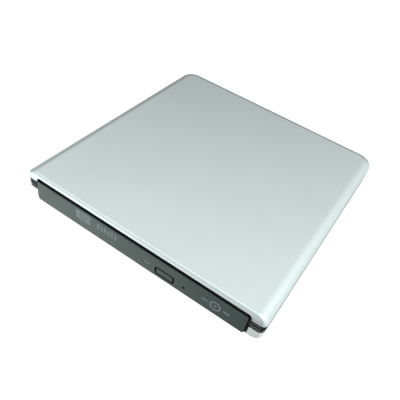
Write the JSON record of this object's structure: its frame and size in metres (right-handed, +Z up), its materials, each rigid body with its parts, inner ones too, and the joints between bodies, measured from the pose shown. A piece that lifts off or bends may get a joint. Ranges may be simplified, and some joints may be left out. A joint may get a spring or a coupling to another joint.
{
  "type": "external optical drive",
  "caption": "Slim external disc drive: pillow-edged metal clamshell, dark bezel on a sliding tray with hub, laser sled and latch, micro data port behind.",
  "frame": {"origin": "middle of the case in plan, level with the soles of the feet", "axes": "+Z up, -Y towards the bezel and the way the tray comes out, +X to the right seen from the bezel"},
  "size_m": [0.145, 0.1538, 0.0185],
  "materials": {
    "top_case": "satin anodised aluminium, rolled edges, cool silver",
    "base_case": "pale satin aluminium",
    "band": "black moulded plastic with two fine ribs",
    "bezel": "dark grey satin moulded plastic, faintly green",
    "tray_plastic": "black fine-grained moulded plastic",
    "pressed_steel": "zinc plated pressed steel",
    "bright_steel": "bright ground steel",
    "black_steel": "blackened steel",
    "rubber": "matt black rubber",
    "board": "green solder mask with pale legend-free lands",
    "chip": "black epoxy",
    "nylon": "natural nylon",
    "flex": "amber polyimide over copper tracks",
    "clear": "frosted clear acrylic",
    "lens": "coated objective lens"
  },
  "bodies": {
    "root": {"top_shell": "top_case", "bottom_shell": "base_case", "midframe": "band", "foot_1": "rubber", "foot_2": "rubber", "foot_3": "rubber", "foot_4": "rubber", "case_screw_1": "black_steel", "case_screw_2": "black_steel", "drive_screw_1": "black_steel", "drive_screw_2": "black_steel", "board_screw_1": "bright_steel", "board_screw_2": "bright_steel", "bridge_board": "board", "bridge_chip": "chip", "board_connector": "chip", "usb_shell": "pressed_steel", "usb_tongue": "chip", "drive_chassis": "pressed_steel", "drive_lid": "pressed_steel", "outer_guide_left": "bright_steel", "outer_guide_right": "bright_steel", "lock_post": "bright_steel", "rear_board": "board", "drive_connector": "nylon", "flex_cable": "flex"},
    "rail_left": {"sliding_rail_left": "bright_steel"},
    "rail_right": {"sliding_rail_right": "bright_steel"},
    "tray": {"tray": "tray_plastic", "bezel": "bezel", "light_pipe": "clear", "front_board": "board", "eject_switch": "chip", "status_led": "nylon", "tray_base_cover": "pressed_steel", "tray_board": "board", "servo_chip": "chip", "ejector_rod": "bright_steel", "ejector_spring": "bright_steel", "latch_pin": "bright_steel", "solenoid": "chip", "traverse_frame": "pressed_steel", "guide_rod_1": "bright_steel", "guide_rod_2": "bright_steel", "stepper_motor": "pressed_steel", "traverse_cover": "pressed_steel", "spindle_motor": "pressed_steel"},
    "button": {"eject_button": "bezel"},
    "spindle": {"turntable": "tray_plastic", "turntable_mat": "rubber"},
    "claw_1": {"disc_claw_1": "nylon"},
    "claw_2": {"disc_claw_2": "nylon"},
    "claw_3": {"disc_claw_3": "nylon"},
    "pickup": {"pickup_sled": "tray_plastic"},
    "lens": {"lens_holder": "chip", "objective_lens": "lens"},
    "lead_screw": {"lead_screw": "bright_steel"},
    "latch": {"latch_hook": "nylon"},
    "plunger": {"solenoid_plunger": "bright_steel"}
  },
  "joints": [
    {"name": "tray_slide", "type": "slide", "parent": "root", "child": "tray", "axis": [0, -1, 0], "range_m": [0, 0.126], "deforming": ["flex_cable"]},
    {"name": "rail_left_slide", "type": "slide", "parent": "root", "child": "rail_left", "axis": [0, -1, 0], "range_m": [0, 0.063]},
    {"name": "rail_right_slide", "type": "slide", "parent": "root", "child": "rail_right", "axis": [0, -1, 0], "range_m": [0, 0.063]},
    {"name": "eject_button_press", "type": "slide", "parent": "tray", "child": "button", "axis": [0, 1, 0], "range_m": [0, 0.0006], "stiffness_N_per_m": 400},
    {"name": "spindle_spin", "type": "hinge", "parent": "tray", "child": "spindle", "pos_m": [0, -0.0114, 0.012], "axis": [0, 0, 1], "continuous": true},
    {"name": "claw_1_slide", "type": "slide", "parent": "spindle", "child": "claw_1", "axis": [0.7071, 0.7071, 0], "range_m": [0, 0.00035], "stiffness_N_per_m": 500},
    {"name": "claw_2_slide", "type": "slide", "parent": "spindle", "child": "claw_2", "axis": [-0.9659, 0.2588, 0], "range_m": [0, 0.00035], "stiffness_N_per_m": 500},
    {"name": "claw_3_slide", "type": "slide", "parent": "spindle", "child": "claw_3", "axis": [0.2588, -0.9659, 0], "range_m": [0, 0.00035], "stiffness_N_per_m": 500},
    {"name": "pickup_slide", "type": "slide", "parent": "tray", "child": "pickup", "axis": [-0.7071, -0.7071, 0], "range_m": [0, 0.031]},
    {"name": "lead_screw_spin", "type": "hinge", "parent": "tray", "child": "lead_screw", "pos_m": [-0.01237, -0.04994, 0.00695], "axis": [-0.7071, -0.7071, 0], "range_deg": [0, 3721]},
    {"name": "lens_focus", "type": "slide", "parent": "pickup", "child": "lens", "axis": [0, 0, 1], "range_m": [-0.0004, 0.0004], "stiffness_N_per_m": 30},
    {"name": "latch_swing", "type": "hinge", "parent": "tray", "child": "latch", "pos_m": [0.0385, -0.05, 0.0066], "axis": [0, 0, 1], "range_deg": [0, 15], "stiffness_Nm_per_rad": 0.001},
    {"name": "plunger_slide", "type": "slide", "parent": "tray", "child": "plunger", "axis": [-1, 0, 0], "range_m": [0, 0.00157]}
  ],
  "couplings": [
    {"joint": "rail_left_slide", "follows": "tray_slide", "ratio": 0.5},
    {"joint": "rail_right_slide", "follows": "tray_slide", "ratio": 0.5},
    {"joint": "lead_screw_spin", "follows": "pickup_slide", "rad_per_m": 2094.4},
    {"joint": "latch_swing", "follows": "plunger_slide", "rad_per_m": 166.67}
  ]
}
